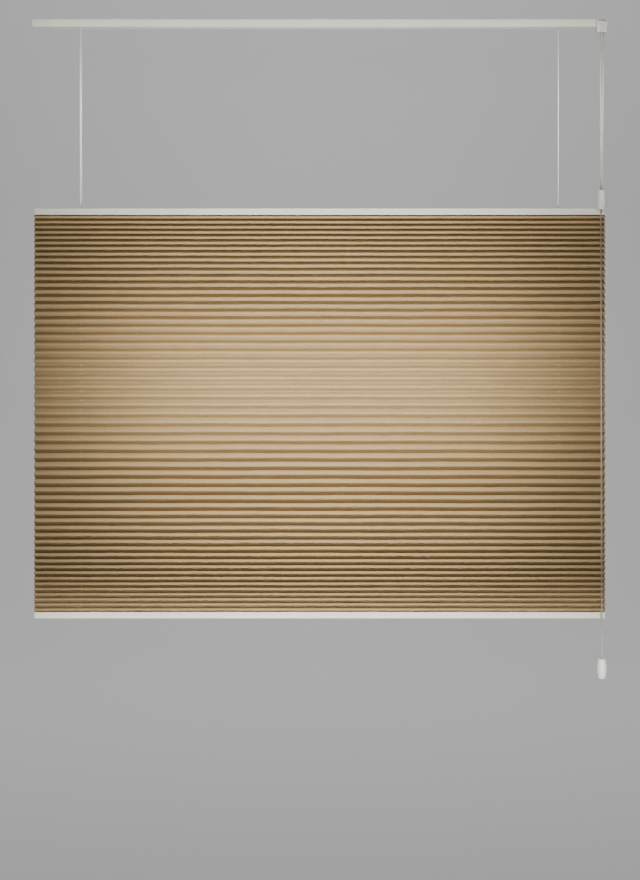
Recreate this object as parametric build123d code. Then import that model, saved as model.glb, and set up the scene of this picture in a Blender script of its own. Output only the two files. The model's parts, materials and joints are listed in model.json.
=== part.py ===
from build123d import *

import os
from math import asin, atan2, cos, hypot, pi, sin, tan

# A recess-mounted pleated blind with a fabric that can be lowered from the top and raised
# from the bottom. Millimetres. +Z is up, +X to the right as seen from the room, -Y towards
# the room. The origin is on the ceiling, at the middle of the blind.

# ---- overall sizes ----
HALF_WIDTH = 575.0  # headrail, with its end caps
RAIL_HALF_WIDTH = 571.0  # middle and bottom rail, with their end caps
FABRIC_HALF_WIDTH = 572.0
BRACKET_THICK = 1.0  # the headrail's top is this far below the ceiling
MIDDLE_RAIL_TOP = -379.2
BOTTOM_RAIL_TOP = -1187.4

# ---- headrail ----
HEAD_DEPTH = 25.0
HEAD_TOP = -BRACKET_THICK
HEAD_BOTTOM = -16.0
HEAD_WALL = 1.2
HEAD_LIP = 4.0  # how far each lip reaches in from the outer face
HEAD_CORNER = 0.8
HEAD_CAP = 1.9
HEAD_END = HALF_WIDTH - HEAD_CAP  # where the channel ends and its cap begins
HEAD_INNER = HEAD_DEPTH / 2 - HEAD_WALL
LIP_UNDER = HEAD_TOP - HEAD_WALL
HEAD_FLOOR = HEAD_BOTTOM + HEAD_WALL
PLUG_REACH = 6.0  # how far a headrail cap's plug goes into the channel
PLUG_WALL = 1.4
PLUG_GAP = 0.1  # between a plug and the profile around it
PLUG_BEHIND_LOCK = 1.0  # the right cap's plug starts this far behind the lock

# ---- top-fix brackets ----
BRACKET_X = 400.0
BRACKET_WIDTH = 22.0
BRACKET_HOLE_R = 2.25
BRACKET_INSET = 0.5  # the plate stops this short of the headrail's faces
HOOK_WIDTH = 16.0
HOOK_IN = 6.8  # inner face of a hook's leg
HOOK_OUT = 10.6  # tip of a hook's foot, under the lip

# ---- middle and bottom rail ----
RAIL_DEPTH = 22.0
RAIL_HEIGHT = 13.0
RAIL_WALL = 1.2
RAIL_CORNER = 1.2
RAIL_PLUG_WALL = 1.2
CAP_EDGE = 0.7  # rounding of a rail cap's outer edge
RAIL_CAP = 2.0
RAIL_END = RAIL_HALF_WIDTH - RAIL_CAP
SLOT_HALF = 7.6  # half the slot that the fabric comes out of
STRIP_HALF = 8.8
STRIP_THICK = 1.2
STRIP_HALF_WIDTH = 566.0
STRIP_END_GAP = 0.5  # between a strip's end and the plug
GROMMET_HALF = 3.0
GROMMET_FRONT, GROMMET_BACK = -4.6, 6.7
GROMMET_CORNER = 1.5
GROMMET_FLANGE = 1.0

# ---- fabric ----
PLEATS = 57
SHEET = 0.4
PLEAT_FLAT = 34.0  # flat length of the sheet in one pleat
PITCH_SWELL = 0.8  # the middle pleats are this share taller than the end ones
PITCH_POWER = 1.8
STEEPEST_PANEL = 1.02  # least length of a panel, over the half height that it spans
HALVINGS = 40  # of the range that a panel's length is sought in
NOSE_SHARE = 0.2  # radius of a front fold over its pleat's height
CREASE_RADIUS = 0.5
CREASE_Y = 6.0  # the back creases hang in one plane, just behind the cords
TAB_FRONT = -6.0  # each end of the sheet is a flat tab, bonded to its strip
TRIM_GAP = 0.3
TRIM_WIDTH = 8.0  # inside the rails the sheet is this much narrower at each side

MIDDLE_RAIL_BOTTOM = MIDDLE_RAIL_TOP - RAIL_HEIGHT
TAB_DROP = RAIL_WALL - SHEET / 2  # a tab's mid-plane lies this far inside its rail's slotted face
FABRIC_TOP = MIDDLE_RAIL_BOTTOM + TAB_DROP
FABRIC_BOTTOM = BOTTOM_RAIL_TOP - TAB_DROP

# ---- cords ----
CORD_R = 0.65
CORD_BORE_R = 0.85
CORD_X = 479.1  # where the cords drop from the headrail
CORD_STEP = 0.7  # the two cords at a drop stand this far each side of it
MIDDLE_CORD_Y = -2.5
BOTTOM_CORD_Y = 4.6
FABRIC_HOLE_R = 1.2
MIDDLE_RUN_Z = -4.4  # height of the middle rail's cords inside the headrail
BOTTOM_RUN_Z = -6.2
# how far back each cord runs along the headrail, by the rail it lifts and the side it drops on
RUN_Y = {"middle_left": -8.0, "middle_right": -6.6, "bottom_left": 7.0, "bottom_right": 5.6}
GUIDE_TURN = 4.0  # radius of a cord's turn at a guide
LOCK_TURN = 3.0
BEAD_R = 1.9
BEAD_LONG = 4.0
BEAD_EDGE = 0.6

# ---- cord guides ----
GUIDE_HALF = 9.0
GUIDE_FRONT, GUIDE_BACK = -4.6, 6.7
GUIDE_SHELF = -11.5
SNOUT_HALF = 3.5  # the part of a guide that stands in the headrail's floor
SNOUT_GAP = 0.1
SADDLE_HALF = 1.3
SADDLE_GAP = 0.05
SADDLE_POST_HALF = 1.0

# ---- cord lock ----
LOCK_LEFT, LOCK_RIGHT = 552.9, 572.9
LOCK_FRONT, LOCK_BACK = -20.0, 2.0
LOCK_TOP, LOCK_BOTTOM = -1.6, -28.0
LOCK_WALL = 1.5
LOCK_EDGE = 0.8
LOCK_SEAT = -9.0  # floor of the space that the headrail's corner stands in
LOCK_NECK_BACK = -2.0  # below the headrail the lock reaches back only this far
LOCK_GAP = 0.2
CHANNEL_HALF = 1.7
MOUTH_HALF = 1.2
MOUTH_TOP = -10.5  # each channel is open to the front from here down
CHANNEL_FRONT = -18.7
CHANNEL_BACK = -5.0
CHANNEL_Y = -17.0  # where the cords run down through the lock
CHANNEL_X = {"bottom": 561.0, "middle": 567.0}
WINDOW_TOP, WINDOW_BOTTOM = -3.0, -7.5  # the opening above the lock's front face
PIVOT_Y, PIVOT_Z = -8.5, -14.0
PIN_R = 1.0
PIN_CLEARANCE = 0.04
PAWL_HALF = 1.5
PAWL_HUB_R = 2.4
PAWL_REACH = 7.55  # from the pin to the tips of the teeth
PAWL_TEETH = 3
TOOTH_TOP, TOOTH_BOTTOM = -1.3, -3.9  # below the pin
TOOTH_DEPTH = 0.45

# ---- pull cords and tassels ----
PULL_X = 562.4
TASSEL_Y = -24.6
PASS_Y = -13.2  # where the lower tassel's cords pass behind the upper tassel
TASSEL_TOPS = {"upper": -344.2, "lower": -1279.0}
TASSEL_LONG = 38.6
TASSEL_R_END, TASSEL_R_MIDDLE = 7.8, 9.9
TASSEL_EDGE = 1.6
TASSEL_BORE_R = 2.1
TASSEL_POCKET_R = 5.0
TASSEL_ROOF = 14.0  # solid length above the pocket
KNOT_R = 3.2
KNOT_LOBE_R = 2.0
KNOT_LOBES = ((-1.6, -1.2), (1.6, -1.2), (0.6, -2.6))  # (x, z) from the ball's centre
KNOT_FLAT = 0.6  # the knot is pressed flat this deep against the pocket's roof

THROUGH = 1.0  # how far a cut runs past the faces that it opens


def block(x0, x1, y0, y1, z0, z1):
    """A box between two corners."""
    return Pos((x0 + x1) / 2, (y0 + y1) / 2, (z0 + z1) / 2) * Box(x1 - x0, y1 - y0, z1 - z0)


def upright(x, y, z0, z1, radius):
    """A cylinder along Z."""
    return Pos(x, y, (z0 + z1) / 2) * Cylinder(radius, z1 - z0)


def across(x0, x1, y, z, radius):
    """A cylinder along X."""
    return Pos((x0 + x1) / 2, y, z) * Rot(0, 90, 0) * Cylinder(radius, x1 - x0)


def along_x(section, half_length):
    """A section in the YZ plane, extruded both ways along X."""
    return extrude(Plane.YZ * section, amount=half_length, both=True)


def rounded_section(depth, top, bottom, radius):
    """A rounded rectangle in (y, z)."""
    return Pos(0, (top + bottom) / 2) * RectangleRounded(depth, top - bottom, radius)


def plain_section(y0, y1, z0, z1):
    return Pos((y0 + y1) / 2, (z0 + z1) / 2) * Rectangle(y1 - y0, z1 - z0)


def hollow_plug(x0, x1, sides, wall):
    """A rectangular tube along X; sides are its outer front, back, bottom and top."""
    front, back, bottom, top = sides
    low, high = sorted((x0, x1))
    plug = block(low, high, front, back, bottom, top)
    return plug - block(low - THROUGH, high + THROUGH, front + wall, back - wall, bottom + wall, top - wall)


def tube(points, radii, radius=CORD_R):
    """A cord along straight runs joined by tangent arcs; its ends are square to its ends' runs."""
    path = FilletPolyline(*points, radius=radii) if radii else Line(*points)
    start = Plane(origin=path @ 0, z_dir=path % 0)
    cord = sweep(start * Circle(radius), path=path)
    expected = pi * radius**2 * path.length
    print(f"cord of {path.length:.1f} mm, radii {radii}, volume over expected {cord.volume / expected:.4f}")
    return cord


def drop_x(side, step):
    """Where a cord leaves the headrail: both cords of a drop are shifted the same way."""
    return side * CORD_X + step


# ---- headrail --------------------------------------------------------------------------

def headrail_profile():
    channel = rounded_section(HEAD_DEPTH, HEAD_TOP, HEAD_BOTTOM, HEAD_CORNER)
    channel -= plain_section(-HEAD_INNER, HEAD_INNER, HEAD_FLOOR, LIP_UNDER)
    opening = HEAD_DEPTH / 2 - HEAD_LIP
    channel -= plain_section(-opening, opening, LIP_UNDER - THROUGH, HEAD_TOP + THROUGH)
    rail = along_x(channel, HEAD_END)
    for side in (-1, 1):
        x, half = side * CORD_X, SNOUT_HALF + SNOUT_GAP
        rail -= block(x - half, x + half, GUIDE_FRONT - SNOUT_GAP, GUIDE_BACK + SNOUT_GAP,
                      HEAD_BOTTOM - THROUGH, HEAD_FLOOR + THROUGH)
    # the front corner makes room for the lock
    return rail - block(LOCK_LEFT - LOCK_GAP, HEAD_END + THROUGH, -HEAD_DEPTH, LOCK_BACK + LOCK_GAP,
                        HEAD_BOTTOM - THROUGH, 0)


def headrail_end_cap(side):
    """A plate over the channel's end, with a plug inside it. The right one leaves room for the lock."""
    inner, outer = side * HEAD_END, side * HALF_WIDTH
    plate = extrude(
        Plane.YZ.offset(min(inner, outer)) * rounded_section(HEAD_DEPTH, HEAD_TOP, HEAD_BOTTOM, HEAD_CORNER),
        amount=HEAD_CAP,
    )
    front = LOCK_BACK + PLUG_BEHIND_LOCK if side > 0 else -HEAD_INNER + PLUG_GAP
    sides = (front, HEAD_INNER - PLUG_GAP, HEAD_FLOOR + PLUG_GAP, LIP_UNDER - PLUG_GAP)
    return plate + hollow_plug(inner, inner - side * PLUG_REACH, sides, PLUG_WALL)


def mounting_bracket(x):
    """A sprung plate under the ceiling, with a hook under each of the headrail's lips."""
    half = BRACKET_WIDTH / 2
    depth = HEAD_DEPTH / 2 - BRACKET_INSET
    bracket = block(x - half, x + half, -depth, depth, HEAD_TOP, 0)
    thick, foot = BRACKET_THICK, LIP_UNDER - BRACKET_THICK
    for side in (-1, 1):
        leg = sorted((side * HOOK_IN, side * (HOOK_IN + thick)))
        bracket += block(x - HOOK_WIDTH / 2, x + HOOK_WIDTH / 2, *leg, foot, HEAD_TOP)
        toe = sorted((side * HOOK_IN, side * HOOK_OUT))
        bracket += block(x - HOOK_WIDTH / 2, x + HOOK_WIDTH / 2, *toe, foot, LIP_UNDER)
    return bracket - upright(x, 0, HEAD_TOP - THROUGH, THROUGH, BRACKET_HOLE_R)


# ---- cord guides -----------------------------------------------------------------------

def cord_guide(side):
    """A moulded block on the headrail's floor. Each cord comes up a bore and turns over a round saddle."""
    x = side * CORD_X
    guide = block(x - GUIDE_HALF, x + GUIDE_HALF, GUIDE_FRONT, GUIDE_BACK, HEAD_FLOOR, GUIDE_SHELF)
    guide += block(x - SNOUT_HALF, x + SNOUT_HALF, GUIDE_FRONT, GUIDE_BACK, HEAD_BOTTOM, HEAD_FLOOR)
    saddle_r = GUIDE_TURN - CORD_R - SADDLE_GAP
    cords = ((-CORD_STEP, MIDDLE_CORD_Y, MIDDLE_RUN_Z), (CORD_STEP, BOTTOM_CORD_Y, BOTTOM_RUN_Z))
    for step, y, run_z in cords:
        centre_x, centre_z = x + step + GUIDE_TURN, run_z - GUIDE_TURN
        guide += Pos(centre_x, y, centre_z) * Rot(90, 0, 0) * Cylinder(saddle_r, 2 * SADDLE_HALF)
        guide += block(centre_x - SADDLE_POST_HALF, centre_x + SADDLE_POST_HALF, y - SADDLE_HALF,
                       y + SADDLE_HALF, HEAD_FLOOR, centre_z)
        guide -= upright(x + step, y, HEAD_BOTTOM - THROUGH, GUIDE_SHELF + THROUGH, CORD_BORE_R)
    return guide


# ---- cord lock -------------------------------------------------------------------------

def cord_lock_body():
    body = block(LOCK_LEFT, LOCK_RIGHT, LOCK_FRONT, LOCK_BACK, LOCK_BOTTOM, LOCK_TOP)
    front_edges = body.faces().sort_by(Axis.Y)[0].edges()
    body = fillet(front_edges, LOCK_EDGE)
    # open towards the headrail at the back and the left, with a roof over the cords in front
    head_front = -HEAD_DEPTH / 2
    inside_right = LOCK_RIGHT - LOCK_WALL
    left, right = LOCK_LEFT - THROUGH, LOCK_RIGHT + THROUGH
    front, back, below = LOCK_FRONT - THROUGH, LOCK_BACK + THROUGH, LOCK_BOTTOM - THROUGH
    body -= block(left, inside_right, head_front - 2 * LOCK_GAP, back, LOCK_SEAT, LOCK_TOP + THROUGH)
    # behind, the part under the headrail is cut back
    body -= block(left, right, LOCK_NECK_BACK, back, below, HEAD_BOTTOM - LOCK_GAP)
    body -= block(LOCK_LEFT + LOCK_WALL, inside_right, front, head_front, WINDOW_BOTTOM, WINDOW_TOP)
    for x in CHANNEL_X.values():
        body -= block(x - CHANNEL_HALF, x + CHANNEL_HALF, CHANNEL_FRONT, CHANNEL_BACK, below,
                      WINDOW_BOTTOM + THROUGH)
        body -= block(x - MOUTH_HALF, x + MOUTH_HALF, front, CHANNEL_FRONT + LOCK_GAP, below, MOUTH_TOP)
    return body - across(left, right, PIVOT_Y, PIVOT_Z, PIN_R)


def lock_pawl(x):
    """A toothed cam on the pin. Its teeth face the cords, a little below the pin's height."""
    pitch = (TOOTH_TOP - TOOTH_BOTTOM) / PAWL_TEETH
    root = -PAWL_REACH + TOOTH_DEPTH
    face = []
    for i in range(PAWL_TEETH):
        top = TOOTH_TOP - i * pitch
        face += [(root, top), (-PAWL_REACH, top - pitch)]
    arm = Polyline((0, PAWL_HUB_R), *face, (root, TOOTH_BOTTOM), (0, -PAWL_HUB_R), close=True)
    outline = Circle(PAWL_HUB_R) + make_face(arm) - Circle(PIN_R + PIN_CLEARANCE)
    pawl = extrude(Plane.YZ * outline, amount=PAWL_HALF, both=True)
    return Pos(x, PIVOT_Y, PIVOT_Z) * pawl


# ---- cords in the headrail -------------------------------------------------------------

def channel_pair(name):
    """The x of the left-hand and right-hand cord of a pair in the lock."""
    return CHANNEL_X[name] - CORD_STEP, CHANNEL_X[name] + CORD_STEP


def headrail_cord(start_x, start_y, run_z, end_x, end_y):
    """From a guide's mouth, up and over its saddle, along the rail, then forwards and down the lock."""
    points = [
        (start_x, start_y, HEAD_BOTTOM),
        (start_x, start_y, run_z),
        (end_x, end_y, run_z),
        (end_x, CHANNEL_Y, run_z),
        (end_x, CHANNEL_Y, LOCK_BOTTOM),
    ]
    return tube(points, [GUIDE_TURN, GUIDE_TURN, LOCK_TURN])


def headrail_cords():
    inner, outer = channel_pair("middle")
    yield "headrail_cord_middle_left", headrail_cord(
        drop_x(-1, -CORD_STEP), MIDDLE_CORD_Y, MIDDLE_RUN_Z, inner, RUN_Y["middle_left"])
    yield "headrail_cord_middle_right", headrail_cord(
        drop_x(1, -CORD_STEP), MIDDLE_CORD_Y, MIDDLE_RUN_Z, outer, RUN_Y["middle_right"])
    inner, outer = channel_pair("bottom")
    yield "headrail_cord_bottom_left", headrail_cord(
        drop_x(-1, CORD_STEP), BOTTOM_CORD_Y, BOTTOM_RUN_Z, outer, RUN_Y["bottom_left"])
    yield "headrail_cord_bottom_right", headrail_cord(
        drop_x(1, CORD_STEP), BOTTOM_CORD_Y, BOTTOM_RUN_Z, inner, RUN_Y["bottom_right"])


# ---- middle and bottom rail ------------------------------------------------------------

def rail_profile(top, slot_up):
    """A C section, with its slot towards the fabric."""
    bottom = top - RAIL_HEIGHT
    section = rounded_section(RAIL_DEPTH, top, bottom, RAIL_CORNER)
    inner = RAIL_DEPTH / 2 - RAIL_WALL
    section -= plain_section(-inner, inner, bottom + RAIL_WALL, top - RAIL_WALL)
    slot_z = top if slot_up else bottom
    cut = RAIL_WALL + THROUGH
    section -= plain_section(-SLOT_HALF, SLOT_HALF, slot_z - cut, slot_z + cut)
    return along_x(section, RAIL_END)


def rail_end_cap(top, side):
    """A crowned plate with a hollow plug."""
    inner, outer = side * RAIL_END, side * RAIL_HALF_WIDTH
    bottom = top - RAIL_HEIGHT
    plate = extrude(
        Plane.YZ.offset(min(inner, outer)) * rounded_section(RAIL_DEPTH, top, bottom, RAIL_CORNER),
        amount=RAIL_CAP,
    )
    outside = plate.faces().sort_by(Axis.X)[-1 if side > 0 else 0]
    plate = fillet(outside.edges(), CAP_EDGE)
    inset = RAIL_WALL + PLUG_GAP
    sides = (-RAIL_DEPTH / 2 + inset, RAIL_DEPTH / 2 - inset, bottom + inset, top - inset)
    reach = RAIL_END - STRIP_HALF_WIDTH - STRIP_END_GAP
    return plate + hollow_plug(inner, inner - side * reach, sides, RAIL_PLUG_WALL)


def fabric_strip(z_low):
    strip = block(-STRIP_HALF_WIDTH, STRIP_HALF_WIDTH, -STRIP_HALF, STRIP_HALF, z_low, z_low + STRIP_THICK)
    for side in (-1, 1):
        strip -= upright(drop_x(side, CORD_STEP), BOTTOM_CORD_Y, z_low - THROUGH,
                         z_low + STRIP_THICK + THROUGH, FABRIC_HOLE_R)
    return strip


def grommet_sketch(half_x, y0, y1):
    return Pos(0, (y0 + y1) / 2) * RectangleRounded(2 * half_x, y1 - y0, GROMMET_CORNER)


def rail_grommet(side):
    """A bush let into the middle rail's top face, with a bore for each cord."""
    x, flange_z = side * CORD_X, MIDDLE_RAIL_TOP - RAIL_WALL
    neck = grommet_sketch(GROMMET_HALF, GROMMET_FRONT, GROMMET_BACK)
    bush = extrude(Pos(x, 0, flange_z) * neck, amount=RAIL_WALL)
    rim = GROMMET_FLANGE
    flange = grommet_sketch(GROMMET_HALF + rim, GROMMET_FRONT - rim, GROMMET_BACK + rim)
    bush += extrude(Pos(x, 0, flange_z - GROMMET_FLANGE) * flange, amount=GROMMET_FLANGE)
    low, high = flange_z - GROMMET_FLANGE - THROUGH, MIDDLE_RAIL_TOP + THROUGH
    for step, y in ((-CORD_STEP, MIDDLE_CORD_Y), (CORD_STEP, BOTTOM_CORD_Y)):
        bush -= upright(x + step, y, low, high, CORD_BORE_R)
    return bush


def middle_rail_profile():
    rail = rail_profile(MIDDLE_RAIL_TOP, slot_up=False)
    hole = grommet_sketch(GROMMET_HALF, GROMMET_FRONT, GROMMET_BACK)
    low = MIDDLE_RAIL_TOP - RAIL_WALL - THROUGH
    for side in (-1, 1):
        rail -= extrude(Pos(side * CORD_X, 0, low) * hole, amount=RAIL_WALL + 2 * THROUGH)
    return rail


def cord_bead(x, y, top):
    """The stopped end of a cord: a crimped bead around its last few millimetres."""
    bead = Pos(x, y, top - BEAD_LONG / 2) * fillet(Cylinder(BEAD_R, BEAD_LONG).edges(), BEAD_EDGE)
    return bead - upright(x, y, top - BEAD_LONG - THROUGH, top + THROUGH, CORD_R)


# ---- fabric ----------------------------------------------------------------------------

def pleat_heights():
    """Heights of the pleats, top to bottom: those near the rails are shallower."""
    shares = [1 + PITCH_SWELL * sin(pi * (i + 0.5) / PLEATS) ** PITCH_POWER for i in range(PLEATS)]
    return [(FABRIC_TOP - FABRIC_BOTTOM) * share / sum(shares) for share in shares]


def pleat_panel(height):
    """Length of each panel of a pleat, crease to the corner that its nose rounds off, so that the sheet's
    length round the nose is PLEAT_FLAT."""
    low, high = height / 2 * STEEPEST_PANEL, PLEAT_FLAT
    nose = NOSE_SHARE * height
    for _ in range(HALVINGS):
        panel = (low + high) / 2
        slope = asin(height / 2 / panel)
        flat = 2 * (panel - nose / tan(slope)) + nose * (pi - 2 * slope)
        low, high = (panel, high) if flat < PLEAT_FLAT else (low, panel)
    return panel


def mitred(points, offset):
    """The points again, moved to one side of the line by offset."""
    moved = []
    for i, (y, z) in enumerate(points):
        before = points[max(i - 1, 0)]
        after = points[min(i + 1, len(points) - 1)]
        angles = []
        if before != (y, z):
            angles.append(atan2(z - before[1], y - before[0]))
        if after != (y, z):
            angles.append(atan2(after[1] - z, after[0] - y))
        normals = [(-sin(a), cos(a)) for a in angles]
        my, mz = sum(n[0] for n in normals), sum(n[1] for n in normals)
        size = hypot(my, mz)
        my, mz = my / size, mz / size
        stretch = offset / (my * normals[0][0] + mz * normals[0][1])
        moved.append((y + my * stretch, z + mz * stretch))
    return moved


def pleated_fabric():
    """One sheet: a flat tab, the pleats with round noses and sharp creases, and another tab."""
    points, radii = [(TAB_FRONT, FABRIC_TOP), (CREASE_Y, FABRIC_TOP)], [CREASE_RADIUS]
    z = FABRIC_TOP
    for height in pleat_heights():
        panel = pleat_panel(height)
        points.append((CREASE_Y - panel * cos(asin(height / 2 / panel)), z - height / 2))
        radii.append(-NOSE_SHARE * height)
        z -= height
        points.append((CREASE_Y, z))
        radii.append(CREASE_RADIUS)
    points.append((TAB_FRONT, z))
    # creases bend one way and noses the other, so one side's radius grows where the other's shrinks
    behind = mitred(points, SHEET / 2)
    ahead = mitred(points, -SHEET / 2)
    half = SHEET / 2
    behind_radii = [r + half if r > 0 else -r - half for r in radii]
    ahead_radii = [r - half if r > 0 else -r + half for r in radii]
    outline = FilletPolyline(
        *behind, *reversed(ahead),
        radius=[0, *behind_radii, 0, 0, *reversed(ahead_radii), 0],
        close=True,
    )
    sheet = along_x(make_face(outline), FABRIC_HALF_WIDTH)
    for side in (-1, 1):
        sheet -= upright(drop_x(side, CORD_STEP), BOTTOM_CORD_Y, FABRIC_BOTTOM - THROUGH,
                         FABRIC_TOP + THROUGH, FABRIC_HOLE_R)
        # inside the rails the sheet's corners are trimmed back, clear of the end caps
        x0, x1 = sorted((side * (FABRIC_HALF_WIDTH - TRIM_WIDTH), side * (FABRIC_HALF_WIDTH + THROUGH)))
        for low, high in ((MIDDLE_RAIL_BOTTOM - TRIM_GAP, FABRIC_TOP + THROUGH),
                          (FABRIC_BOTTOM - THROUGH, BOTTOM_RAIL_TOP + TRIM_GAP)):
            sheet -= block(x0, x1, -RAIL_DEPTH, RAIL_DEPTH, low, high)
    return sheet


# ---- tassels ---------------------------------------------------------------------------

def tassel(top):
    """A barrel with a bore for the cords and a pocket below that hides their knot."""
    bottom, middle = top - TASSEL_LONG, top - TASSEL_LONG / 2
    outline = [
        Line((0, top), (TASSEL_R_END, top)),
        ThreePointArc((TASSEL_R_END, top), (TASSEL_R_MIDDLE, middle), (TASSEL_R_END, bottom)),
        Line((TASSEL_R_END, bottom), (0, bottom)),
        Line((0, bottom), (0, top)),
    ]
    barrel = revolve(Plane.XZ * make_face(outline), Axis.Z)
    rims = barrel.edges().filter_by(GeomType.CIRCLE).sort_by(Axis.Z)
    barrel = fillet([rims[0], rims[-1]], TASSEL_EDGE)
    barrel -= upright(0, 0, bottom - THROUGH, top - TASSEL_ROOF, TASSEL_POCKET_R)
    barrel -= upright(0, 0, bottom, top + THROUGH, TASSEL_BORE_R)
    return Pos(PULL_X, TASSEL_Y, 0) * barrel


def knot_top(tassel_top):
    return tassel_top - TASSEL_ROOF


def cord_knot(tassel_top):
    """The knot that holds a tassel up: a lumpy ball against the pocket's roof."""
    z = knot_top(tassel_top) - KNOT_R
    ball = Pos(PULL_X, TASSEL_Y, z) * Sphere(KNOT_R)
    for dx, dz in KNOT_LOBES:
        ball += Pos(PULL_X + dx, TASSEL_Y, z + dz) * Sphere(KNOT_LOBE_R)
    reach = 2 * KNOT_R
    flat_z = z + KNOT_R - KNOT_FLAT
    return ball - block(PULL_X - reach, PULL_X + reach, TASSEL_Y - reach, TASSEL_Y + reach,
                        flat_z, z + reach)


def pull_cords():
    """Each pair hangs from the lock to its tassel's knot. The lower pair bends behind the upper tassel."""
    knots = {name: knot_top(top) - KNOT_FLAT for name, top in TASSEL_TOPS.items()}
    pass_z = TASSEL_TOPS["upper"] - TASSEL_LONG / 2
    for label, shift in (("left", -CORD_STEP), ("right", CORD_STEP)):
        x = PULL_X + shift
        start = (CHANNEL_X["middle"] + shift, CHANNEL_Y, LOCK_BOTTOM)
        yield f"pull_cord_middle_{label}", tube([start, (x, TASSEL_Y, knots["upper"])], None)
        start = (CHANNEL_X["bottom"] + shift, CHANNEL_Y, LOCK_BOTTOM)
        passing = (x, PASS_Y, pass_z)
        yield f"pull_cord_bottom_upper_{label}", tube([start, passing], None)
        yield f"pull_cord_bottom_lower_{label}", tube([passing, (x, TASSEL_Y, knots["lower"])], None)


# ---- assembly --------------------------------------------------------------------------

def drop_cords():
    """The straight stretches of the lift cords, and the beads on their ends."""
    bead_tops = {"middle": MIDDLE_RAIL_TOP - RAIL_WALL - GROMMET_FLANGE,
                 "bottom": BOTTOM_RAIL_TOP - RAIL_WALL - STRIP_THICK}
    for side, label in ((-1, "left"), (1, "right")):
        x, y = drop_x(side, -CORD_STEP), MIDDLE_CORD_Y
        low = bead_tops["middle"] - BEAD_LONG
        yield f"lift_cord_middle_{label}", upright(x, y, low, HEAD_BOTTOM, CORD_R)
        yield f"cord_bead_middle_{label}", cord_bead(x, y, bead_tops["middle"])
        x, y = drop_x(side, CORD_STEP), BOTTOM_CORD_Y
        low = bead_tops["bottom"] - BEAD_LONG
        yield f"lift_cord_bottom_{label}", upright(x, y, MIDDLE_RAIL_TOP, HEAD_BOTTOM, CORD_R)
        yield f"fabric_cord_{label}", upright(x, y, low, MIDDLE_RAIL_TOP, CORD_R)
        yield f"cord_bead_bottom_{label}", cord_bead(x, y, bead_tops["bottom"])


def nodes():
    yield "headrail_profile", headrail_profile()
    for label, x in (("left", -BRACKET_X), ("centre", 0.0), ("right", BRACKET_X)):
        yield f"mounting_bracket_{label}", mounting_bracket(x)
    for side, label in ((-1, "left"), (1, "right")):
        yield f"headrail_end_cap_{label}", headrail_end_cap(side)
        yield f"cord_guide_{label}", cord_guide(side)
        yield f"rail_grommet_{label}", rail_grommet(side)
        yield f"middle_rail_end_cap_{label}", rail_end_cap(MIDDLE_RAIL_TOP, side)
        yield f"bottom_rail_end_cap_{label}", rail_end_cap(BOTTOM_RAIL_TOP, side)
    yield "cord_lock_body", cord_lock_body()
    yield "lock_pin", across(LOCK_LEFT, LOCK_RIGHT, PIVOT_Y, PIVOT_Z, PIN_R)
    for name, x in CHANNEL_X.items():
        yield f"lock_pawl_{name}", lock_pawl(x)
    yield from headrail_cords()
    yield from drop_cords()
    yield "middle_rail_profile", middle_rail_profile()
    yield "fabric_strip_top", fabric_strip(MIDDLE_RAIL_BOTTOM + RAIL_WALL)
    yield "pleated_fabric", pleated_fabric()
    yield "fabric_strip_bottom", fabric_strip(BOTTOM_RAIL_TOP - RAIL_WALL - STRIP_THICK)
    yield "bottom_rail_profile", rail_profile(BOTTOM_RAIL_TOP, slot_up=True)
    yield from pull_cords()
    for name, top in TASSEL_TOPS.items():
        yield f"tassel_{name}", tassel(top)
        yield f"cord_knot_{name}", cord_knot(top)


os.makedirs("parts", exist_ok=True)
for node, shape in nodes():
    export_step(shape, f"parts/{node}.step")
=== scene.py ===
import json
import math

import bpy
import numpy as np
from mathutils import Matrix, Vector


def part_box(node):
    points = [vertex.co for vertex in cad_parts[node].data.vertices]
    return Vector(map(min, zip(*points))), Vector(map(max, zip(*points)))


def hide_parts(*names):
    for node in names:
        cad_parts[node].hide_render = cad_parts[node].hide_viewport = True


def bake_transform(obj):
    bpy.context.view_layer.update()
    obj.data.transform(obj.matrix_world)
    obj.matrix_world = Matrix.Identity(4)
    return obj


# A pleated blind that can be lowered from the top and raised from the bottom. Metres, in
# the frame of the CAD model: +Z up, -Y towards the room, z = 0 on the ceiling.

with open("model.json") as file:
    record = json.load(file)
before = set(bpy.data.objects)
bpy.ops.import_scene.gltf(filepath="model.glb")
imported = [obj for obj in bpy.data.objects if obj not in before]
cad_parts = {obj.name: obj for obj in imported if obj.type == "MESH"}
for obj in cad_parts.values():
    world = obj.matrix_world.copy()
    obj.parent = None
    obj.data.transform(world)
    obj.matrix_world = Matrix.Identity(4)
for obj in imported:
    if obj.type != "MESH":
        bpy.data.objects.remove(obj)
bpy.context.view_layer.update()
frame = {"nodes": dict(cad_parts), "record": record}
MM = 0.001
SIDES = ("left", "right")

# ---- studio ----
FLOOR_Z = -2.45                         # below the lowest place that a tassel or rail reaches
WALL_Y = 10.0
STAGE_BEND = 3.0
STAGE_HALF = 12.0
BEND_STEPS = 12

# ---- cords: the same places as in the CAD model ----
CORD_R = 0.65 * MM
CORD_SIDES = 14
LOCK_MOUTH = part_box("cord_lock_body")[0].z
CHANNEL_Y = -17.0 * MM
CHANNEL_X = {"bottom": 561.0 * MM, "middle": 567.0 * MM}
CORD_STEP = 0.7 * MM
PASS_Y = -13.2 * MM
BRAID_STRANDS = 6
BRAID_LAY = 3800.0                      # radians of the strands' pattern in a metre of cord

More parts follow.
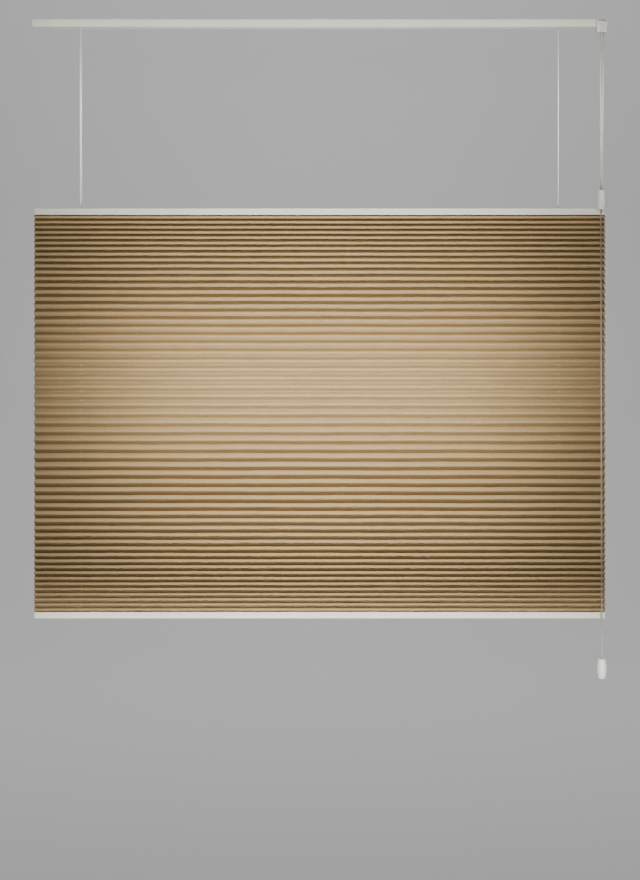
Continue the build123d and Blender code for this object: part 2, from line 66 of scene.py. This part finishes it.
# ---- fabric: the same pleats as in the CAD model ----
PLEATS = 57
PLEAT_FLAT = 34.0 * MM
PITCH_SWELL = 0.8
PITCH_POWER = 1.8
NOSE_SHARE = 0.2
CREASE_Y = 6.0 * MM
CREASE_R = 0.5 * MM
TAB_FRONT = -6.0 * MM
TAB_BACK = CREASE_Y - 1.5 * CREASE_R
SHEET = 0.4 * MM
STEEPEST_PANEL = 1.02                   # shortest panel that is tried, in half pleat heights
HALVINGS = 40
NOSE_STEPS = 7
PANEL_STEPS = 2
OFF_CREASE = 0.06                       # of a panel's step, from a crease to the first point after it
COLUMNS = 60
WAVINESS = 0.22 * MM
# each wave's height, its radians in a metre along x and along z, and its phase
WAVES = ((1.0, 17.0, 41.0, 1.3), (0.6, 43.0, -90.0, 0.0), (0.4, 97.0, 260.0, 0.7))
WARP_PITCH = 0.60 * MM
WEFT_PITCH = 0.52 * MM


# ---- helpers ---------------------------------------------------------------------------

def new_mesh(name, points, faces, material):
    mesh = bpy.data.meshes.new(name)
    mesh.from_pydata([tuple(p) for p in points], [], faces)
    mesh.validate()
    mesh.polygons.foreach_set("use_smooth", [True] * len(mesh.polygons))
    mesh.materials.append(material)
    obj = bpy.data.objects.new(name, mesh)
    bpy.context.scene.collection.objects.link(obj)
    return obj


class Graph:
    """A material's nodes, added one at a time."""

    def __init__(self, name):
        self.material = bpy.data.materials.new(name)
        self.material.use_nodes = True
        self.tree = self.material.node_tree
        self.shader = self.tree.nodes["Principled BSDF"]
        self.output = self.tree.nodes["Material Output"]

    def add(self, kind, inputs=(), **settings):
        node = self.tree.nodes.new(kind)
        for key, value in settings.items():
            setattr(node, key, value)
        for key, value in dict(inputs).items():
            self.put(node, key, value)
        return node

    def put(self, node, key, value):
        """Sets an input, or links it where the value is another node's output."""
        if isinstance(value, bpy.types.NodeSocket):
            self.tree.links.new(value, node.inputs[key])
        else:
            node.inputs[key].default_value = value

    def shade(self, inputs):
        """Sets or links several inputs of the surface shader."""
        for key, value in inputs.items():
            self.put(self.shader, key, value)

    def compute(self, operation, *values):
        return self.add("ShaderNodeMath", dict(enumerate(values)), operation=operation).outputs[0]

    def noise(self, vector, scale, detail=3.0, roughness=0.5):
        inputs = {"Vector": vector, "Scale": scale, "Detail": detail, "Roughness": roughness}
        return self.add("ShaderNodeTexNoise", inputs).outputs["Fac"]

    def stretch(self, vector, scale):
        return self.add("ShaderNodeMapping", {"Vector": vector, "Scale": scale}).outputs[0]

    def span(self, value, low, high, to_low=0.0, to_high=1.0):
        inputs = {"Value": value, "From Min": low, "From Max": high, "To Min": to_low, "To Max": to_high}
        return self.add("ShaderNodeMapRange", inputs).outputs[0]

    def ramp(self, value, *stops):
        node = self.add("ShaderNodeValToRGB", {"Fac": value})
        elements = node.color_ramp.elements
        while len(elements) < len(stops):
            elements.new(0.5)
        for element, (place, colour) in zip(elements, stops):
            element.position = place
            element.color = (*colour, 1.0)
        return node.outputs["Color"]

    def mix(self, share, under, over):
        """Lays a plain colour over another node's colour."""
        node = self.add("ShaderNodeMix", data_type="RGBA")
        self.put(node, "Factor", share)
        # inputs 6 and 7 and output 2 are this node's colours
        self.put(node, 6, under)
        self.put(node, 7, (*over, 1.0))
        return node.outputs[2]

    def bump(self, height, strength, distance):
        inputs = {"Height": height, "Strength": strength, "Distance": distance}
        return self.add("ShaderNodeBump", inputs).outputs[0]

    def object_place(self):
        return self.add("ShaderNodeTexCoord").outputs["Object"]

    def uv_place(self, name):
        return self.add("ShaderNodeUVMap", uv_map=name).outputs[0]

    def split(self, vector):
        """The vector's x and y."""
        return self.add("ShaderNodeSeparateXYZ", {0: vector}).outputs[:2]


# ---- materials -------------------------------------------------------------------------

def painted_metal():
    """Ivory powder paint: a fine orange peel and slow, faint changes of tone."""
    g = Graph("ivory_paint")
    place = g.object_place()
    broad = g.noise(place, scale=9.0, detail=2.0)
    fine = g.noise(place, scale=1400.0, detail=4.0, roughness=0.6)
    deep, pale, speck = (0.700, 0.672, 0.545), (0.760, 0.728, 0.590), (0.63, 0.60, 0.48)
    paint = g.ramp(broad, (0.3, deep), (0.7, pale))
    g.shade({
        "Base Color": g.mix(g.span(fine, 0.35, 0.65, to_high=0.25), paint, speck),
        "Roughness": g.span(fine, 0.3, 0.7, to_low=0.36, to_high=0.48),
        "Normal": g.bump(fine, strength=0.12, distance=0.05 * MM),
    })
    return g.material


def moulded_plastic(name, light, dark, roughness):
    """Moulded plastic: a faint flow pattern and a fine spark-eroded grain."""
    g = Graph(name)
    place = g.object_place()
    flow = g.noise(g.stretch(place, (1.0, 1.0, 0.35)), scale=160.0)
    grain = g.noise(place, scale=3200.0, roughness=0.7)
    g.shade({
        "Base Color": g.ramp(flow, (0.25, dark), (0.75, light)),
        "Roughness": g.span(grain, 0.3, 0.7, to_low=roughness - 0.05, to_high=roughness + 0.08),
        "Normal": g.bump(grain, strength=0.15, distance=0.03 * MM),
    })
    return g.material


def plated_steel():
    """Zinc-plated strip: fine rolling lines along X."""
    g = Graph("plated_steel")
    place = g.object_place()
    lines = g.noise(g.stretch(place, (0.05, 1.0, 1.0)), scale=2600.0)
    cloud = g.noise(place, scale=120.0)
    dull, bright = (0.50, 0.50, 0.49), (0.62, 0.62, 0.62)
    g.shade({
        "Base Color": g.ramp(cloud, (0.3, dull), (0.7, bright)),
        "Metallic": 1.0,
        "Roughness": g.span(lines, 0.3, 0.7, to_low=0.28, to_high=0.45),
        "Normal": g.bump(lines, strength=0.1, distance=0.03 * MM),
    })
    return g.material


def braided_cord(name, light, dark):
    """A braid of fine strands: two sets of slanting ridges that cross."""
    g = Graph(name)
    around, along = g.split(g.uv_place("braid"))
    strands = []
    for way in (1, -1):
        turn = g.compute("MULTIPLY", around, BRAID_STRANDS * math.tau * way)
        strands.append(g.compute("SINE", g.compute("ADD", turn, g.compute("MULTIPLY", along, BRAID_LAY))))
    braid = g.compute("MAXIMUM", *strands)
    fuzz = g.noise(g.object_place(), scale=2500.0, detail=2.0)
    height = g.compute("ADD", braid, g.compute("MULTIPLY", fuzz, 0.6))
    # painted shade: the base colour darkens from the strands' ridges down into the hollows between them
    g.shade({
        "Base Color": g.ramp(g.span(braid, 0.0, 1.0), (0.1, dark), (0.8, light)),
        "Roughness": g.span(fuzz, 0.3, 0.7, to_low=0.6, to_high=0.8),
        "Normal": g.bump(height, strength=0.5, distance=0.08 * MM),
        "Sheen Weight": 0.2,
    })
    return g.material


def pleated_cloth():
    """A woven linen-like sheet that some of the window's light comes through."""
    g = Graph("blind_cloth")
    place = g.uv_place("cloth")
    # threads: a plain weave, uneven in thickness
    wander = g.noise(place, scale=60.0, detail=2.0)
    threads = []
    for along, pitch, stray in zip(g.split(place), (WARP_PITCH, WEFT_PITCH), (9.0, 7.0)):
        straight = g.compute("MULTIPLY", along, math.tau / pitch)
        threads.append(g.compute("SINE", g.compute("ADD", straight, g.compute("MULTIPLY", wander, stray))))
    weave = g.compute("MULTIPLY", *threads)
    # slubs: short thick stretches of thread, mostly along the width
    slub = g.noise(g.stretch(place, (0.55, 1.0, 1.0)), scale=900.0, roughness=0.65)
    tuft = g.noise(g.stretch(place, (0.8, 1.0, 1.0)), scale=330.0, detail=4.0, roughness=0.7)
    cloud = g.noise(place, scale=22.0, roughness=0.55)
    tone = g.compute("ADD", g.compute("MULTIPLY", slub, 0.45), g.compute("MULTIPLY", tuft, 0.55))
    dark, middle, light = (0.310, 0.208, 0.092), (0.450, 0.320, 0.155), (0.590, 0.445, 0.235)
    clouded, shade_between_threads = (0.36, 0.25, 0.14), (0.22, 0.14, 0.07)
    colour = g.ramp(tone, (0.30, dark), (0.50, middle), (0.70, light))
    colour = g.mix(g.span(cloud, 0.35, 0.65, to_high=0.22), colour, clouded)
    # painted shade: a darker colour laid along the weave pattern, for the gaps between the threads
    colour = g.mix(g.span(weave, -1.0, 1.0, to_high=0.18), colour, shade_between_threads)
    height = g.compute("ADD", g.compute("MULTIPLY", weave, 0.5), g.compute("MULTIPLY", slub, 1.2))
    normal = g.bump(height, strength=0.55, distance=0.12 * MM)
    g.shade({
        "Base Color": colour,
        "Roughness": 0.85,
        "Specular IOR Level": 0.15,
        "Sheen Weight": 0.04,
        "Sheen Roughness": 0.5,
        "Normal": normal,
    })
    through_share = 0.16
    through = g.add("ShaderNodeBsdfTranslucent", {"Color": colour, "Normal": normal})
    parts = {0: through_share, 1: g.shader.outputs[0], 2: through.outputs[0]}
    g.put(g.output, "Surface", g.add("ShaderNodeMixShader", parts).outputs[0])
    return g.material


# ---- camera and light ------------------------------------------------------------------

def make_camera():
    """Level, square to the blind and 3.6 m in front of it, with the view shifted down."""
    blind_front, distance = -12.0 * MM, 3.6
    eye_x, eye_z = 0.0007, -0.705
    view_centre, view_height = -0.843, 1.760
    sensor = 36.0
    camera = bpy.data.objects.new("camera", bpy.data.cameras.new("camera"))
    bpy.context.scene.collection.objects.link(camera)
    camera.location = (eye_x, blind_front - distance, eye_z)
    camera.rotation_euler = (math.pi / 2, 0, 0)
    camera.data.sensor_width = sensor
    camera.data.lens = sensor * distance / view_height
    camera.data.shift_y = (view_centre - eye_z) / view_height
    bpy.context.scene.camera = camera


def area_light(name, place, target, size, power, colour=(1, 1, 1), spread=math.pi):
    data = bpy.data.lights.new(name, "AREA")
    data.shape = "RECTANGLE"
    data.size, data.size_y = size
    data.energy = power
    data.color = colour
    data.spread = spread
    light = bpy.data.objects.new(name, data)
    bpy.context.scene.collection.objects.link(light)
    light.location = place
    light.rotation_euler = (Vector(target) - Vector(place)).to_track_quat("-Z", "Y").to_euler()
    light.visible_camera = False


def make_lights():
    """Powers, places and spreads were chosen by trial, to meet the photo's tones."""
    world = bpy.data.worlds.new("studio")
    bpy.context.scene.world = world
    world.use_nodes = True
    sky = world.node_tree.nodes["Background"].inputs
    sky["Color"].default_value = (0.93, 0.95, 1.0, 1)
    sky["Strength"].default_value = 0.24
    # two crossed strips: the upper one lights the fabric's lower half from above, and the lower one its
    # upper half from below, so that each pleat is lit on the side that faces eye level and in shade on
    # the other
    crossed_y, crossed_size, crossed_spread = -0.7, (0.9, 0.06), math.radians(60)
    for name, from_z, to_z, power in (("lower half", -0.38, -1.04, 3.8), ("upper half", -1.03, -0.46, 3.4)):
        area_light(name, (0, crossed_y, from_z), (0, 0, to_z), crossed_size, power, spread=crossed_spread)
    # two level strips: one for the headrail and the bare cords below it, and one for the bottom rail and
    # the tassel below it
    level_y, level_size = -0.9, (1.3, 0.05)
    for name, z, power, spread in (("headrail", -0.17, 2.6, 32), ("lower tassel", -1.29, 1.3, 22)):
        area_light(name, (0, level_y, z), (0, 0, z), level_size, power, spread=math.radians(spread))
    # what the window would let in, behind the blind
    window_y, window_z, window_size, daylight = 0.14, -0.77, (0.76, 0.60), (1.0, 0.95, 0.87)
    area_light("window", (0, window_y, window_z), (0, 0, window_z), window_size, power=3.0, colour=daylight)
    # on the floor and wall behind, and softly on the blind's back
    area_light("backdrop", place=(0, 5.5, 4.5), target=(0, 6.5, FLOOR_Z), size=(8.0, 5.0), power=230.0)


def make_stage():
    """A pale floor that curves up into a pale wall far behind, with room to look at the blind from its
    back."""
    g = Graph("stage")
    g.shade({"Base Color": (0.80, 0.80, 0.79, 1), "Roughness": 0.95})
    profile = [(-STAGE_HALF, FLOOR_Z)]
    for i in range(BEND_STEPS + 1):
        a = math.pi / 2 * i / BEND_STEPS
        y = WALL_Y - STAGE_BEND + STAGE_BEND * math.sin(a)
        z = FLOOR_Z + STAGE_BEND - STAGE_BEND * math.cos(a)
        profile.append((y, z))
    profile.append((WALL_Y, STAGE_HALF))
    points = [(x, y, z) for y, z in profile for x in (-STAGE_HALF, STAGE_HALF)]
    faces = [(2 * i, 2 * i + 1, 2 * i + 3, 2 * i + 2) for i in range(len(profile) - 1)]
    new_mesh("backdrop", points, faces, g.material)


# ---- cords -----------------------------------------------------------------------------

def straight_cord(name, start, end, body_a, body_b, material):
    """A tube from start to end in place of the CAD cord. Its two bodies are not used."""
    start, end = Vector(start), Vector(end)
    axis = (end - start).normalized()
    side = axis.orthogonal().normalized()
    other = axis.cross(side)
    n = CORD_SIDES
    points = []
    for centre in (start, end):
        for i in range(n):
            a = math.tau * i / n
            points.append(centre + CORD_R * (math.cos(a) * side + math.sin(a) * other))
    faces = [(i, (i + 1) % n, n + (i + 1) % n, n + i) for i in range(n)]
    faces += [tuple(reversed(range(n))), tuple(range(n, 2 * n))]
    cord = new_mesh(f"{name}_braid", points, faces, material)
    uv = cord.data.uv_layers.new(name="braid").data
    length = (end - start).length
    for polygon in cord.data.polygons:
        for loop in polygon.loop_indices:
            vertex = cord.data.loops[loop].vertex_index
            turn = vertex % n
            if turn == 0 and polygon.index == n - 1:
                turn = n                # the last wall ends on a whole turn, not back at 0
            uv[loop].uv = (turn / n, length * (vertex >= n))
    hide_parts(name)
    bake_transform(cord)
    return cord


def plumb_ends(name):
    """Upper and lower end of a CAD cord that hangs straight down."""
    low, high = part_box(name)
    centre = (low + high) / 2
    return (centre.x, centre.y, high.z), (centre.x, centre.y, low.z)


def make_lift_cords(material):
    for side in SIDES:
        for rail in ("middle", "bottom"):
            name = f"lift_cord_{rail}_{side}"
            straight_cord(name, *plumb_ends(name), "headrail", "middle_rail", material)
        name = f"fabric_cord_{side}"
        straight_cord(name, *plumb_ends(name), "middle_rail", "bottom_rail", material)


def make_pull_cords(material):
    """From the lock to the two tassels. The lower tassel's cords pass behind the upper tassel."""
    upper_low, upper_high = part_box("tassel_upper")
    pull_x, tassel_y, pass_z = (upper_low + upper_high) / 2
    for side, shift in zip(SIDES, (-CORD_STEP, CORD_STEP)):
        x = pull_x + shift
        routes = {
            "pull_cord_middle": ((CHANNEL_X["middle"] + shift, CHANNEL_Y, LOCK_MOUTH),
                                 (x, tassel_y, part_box(f"pull_cord_middle_{side}")[0].z),
                                 "headrail", "upper_tassel", "upper"),
            "pull_cord_bottom_upper": ((CHANNEL_X["bottom"] + shift, CHANNEL_Y, LOCK_MOUTH),
                                       (x, PASS_Y, pass_z), "headrail", "upper_tassel", None),
            "pull_cord_bottom_lower": ((x, PASS_Y, pass_z),
                                       (x, tassel_y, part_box(f"pull_cord_bottom_lower_{side}")[0].z),
                                       "upper_tassel", "lower_tassel", "lower"),
        }
        for name, (start, end, body_a, body_b, tassel) in routes.items():
            cord = straight_cord(f"{name}_{side}", start, end, body_a, body_b, material)


# ---- fabric ----------------------------------------------------------------------------

def pleat_panel(height):
    """Length of each panel of a pleat, from its crease to the corner that its nose rounds off."""
    low, high = height / 2 * STEEPEST_PANEL, PLEAT_FLAT
    nose = NOSE_SHARE * height
    for _ in range(HALVINGS):
        panel = (low + high) / 2
        slope = math.asin(height / 2 / panel)
        flat = 2 * (panel - nose / math.tan(slope)) + nose * (math.pi - 2 * slope)
        low, high = (panel, high) if flat < PLEAT_FLAT else (low, panel)
    return panel


def panel_points(crease, nose_end):
    """Points along a panel's section, from just off its crease towards the nearer end of its nose."""
    shares = [(i + OFF_CREASE) / PANEL_STEPS for i in range(PANEL_STEPS)]
    return [tuple(np.array(crease) * (1 - t) + np.array(nose_end) * t) for t in shares]


def pleat_profile(top, bottom):
    """The sheet's section, as (y, z) points down from its upper tab to its lower one."""
    shares = [1 + PITCH_SWELL * math.sin(math.pi * (i + 0.5) / PLEATS) ** PITCH_POWER for i in range(PLEATS)]
    unit = (top - bottom) / sum(shares)
    points = [(TAB_FRONT, top), (TAB_BACK, top)]
    z = top
    for share in shares:
        height = share * unit
        panel, nose = pleat_panel(height), NOSE_SHARE * height
        slope = math.asin(height / 2 / panel)
        corner = CREASE_Y - panel * math.cos(slope)
        centre = corner + nose / math.sin(slope)
        middle = z - height / 2
        sweep = math.pi / 2 - slope
        arc = []
        for i in range(NOSE_STEPS + 1):
            a = sweep * (1 - 2 * i / NOSE_STEPS)
            arc.append((centre - nose * math.cos(a), middle + nose * math.sin(a)))
        points += panel_points((CREASE_Y, z), arc[0])
        points += arc
        z -= height
        points += reversed(panel_points((CREASE_Y, z), arc[-1]))
    points += [(TAB_BACK, bottom), (TAB_FRONT, bottom)]
    return points


def unevenness(x, z):
    """How far a crease hangs off its level at a place, as a multiple of WAVINESS: a sum of slanting waves."""
    return sum(height * math.sin(per_x * x + per_z * z + phase) for height, per_x, per_z, phase in WAVES)


def make_fabric(material):
    low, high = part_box("pleated_fabric")
    top, bottom = high.z - SHEET / 2, low.z + SHEET / 2
    profile = np.array(pleat_profile(top, bottom))
    down_sheet = np.concatenate([[0], np.cumsum(np.linalg.norm(np.diff(profile, axis=0), axis=1))])
    xs = np.linspace(low.x, high.x, COLUMNS + 1)
    # how free the sheet is to hang unevenly: not at all at the rails
    free = np.sin(np.pi * np.clip((top - profile[:, 1]) / (top - bottom), 0, 1)) ** 0.5
    points, uvs = [], []
    for (y, z), s, loose in zip(profile, down_sheet, free):
        for x in xs:
            points.append((x, y, z + WAVINESS * loose * unevenness(x, z)))
            uvs.append((x, s))
    n = COLUMNS + 1
    faces = [(r * n + c, r * n + c + 1, (r + 1) * n + c + 1, (r + 1) * n + c)
             for r in range(len(profile) - 1) for c in range(COLUMNS)]
    cloth = new_mesh("blind_fabric", points, faces, material)
    layer = cloth.data.uv_layers.new(name="cloth").data
    for loop in cloth.data.loops:
        layer[loop.index].uv = uvs[loop.vertex_index]
    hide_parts("pleated_fabric")
    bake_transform(cloth)


# ---- finish on the CAD parts -----------------------------------------------------------

def finish_nodes(materials):
    slots = {part["node"]: part["material_slot"] for part in frame["record"]["subparts"]}
    for name, node in frame["nodes"].items():
        node.data.materials.clear()
        node.data.materials.append(materials[slots[name]])


make_camera()
make_lights()
make_stage()
lift = braided_cord("lift_cord_braid", light=(0.92, 0.91, 0.89), dark=(0.74, 0.73, 0.70))
# painted shade: the pull cords are a darker, warmer copy of the lift cords' white braid, for the shade they
# hang in
pull = braided_cord("pull_cord_shaded_braid", light=(0.66, 0.58, 0.46), dark=(0.42, 0.37, 0.29))
cloth_material = pleated_cloth()
# each plastic's light and dark colour, and its roughness
plastics = {
    "ivory_plastic": ((0.72, 0.70, 0.62), (0.64, 0.62, 0.54), 0.42),
    "tassel_plastic": ((0.74, 0.73, 0.68), (0.66, 0.64, 0.58), 0.38),
    "strip_plastic": ((0.74, 0.74, 0.71), (0.68, 0.68, 0.65), 0.5),
    "crimp_plastic": ((0.70, 0.70, 0.70), (0.60, 0.60, 0.60), 0.4),
    "pawl_plastic": ((0.10, 0.10, 0.11), (0.07, 0.07, 0.08), 0.45),
}
finish_nodes({
    "ivory_metal": painted_metal(),
    "spring_steel": plated_steel(),
    "blind_fabric": cloth_material,
    "cord": lift,
    **{name: moulded_plastic(name, *look) for name, look in plastics.items()},
})
make_lift_cords(lift)
make_pull_cords(pull)
make_fabric(cloth_material)
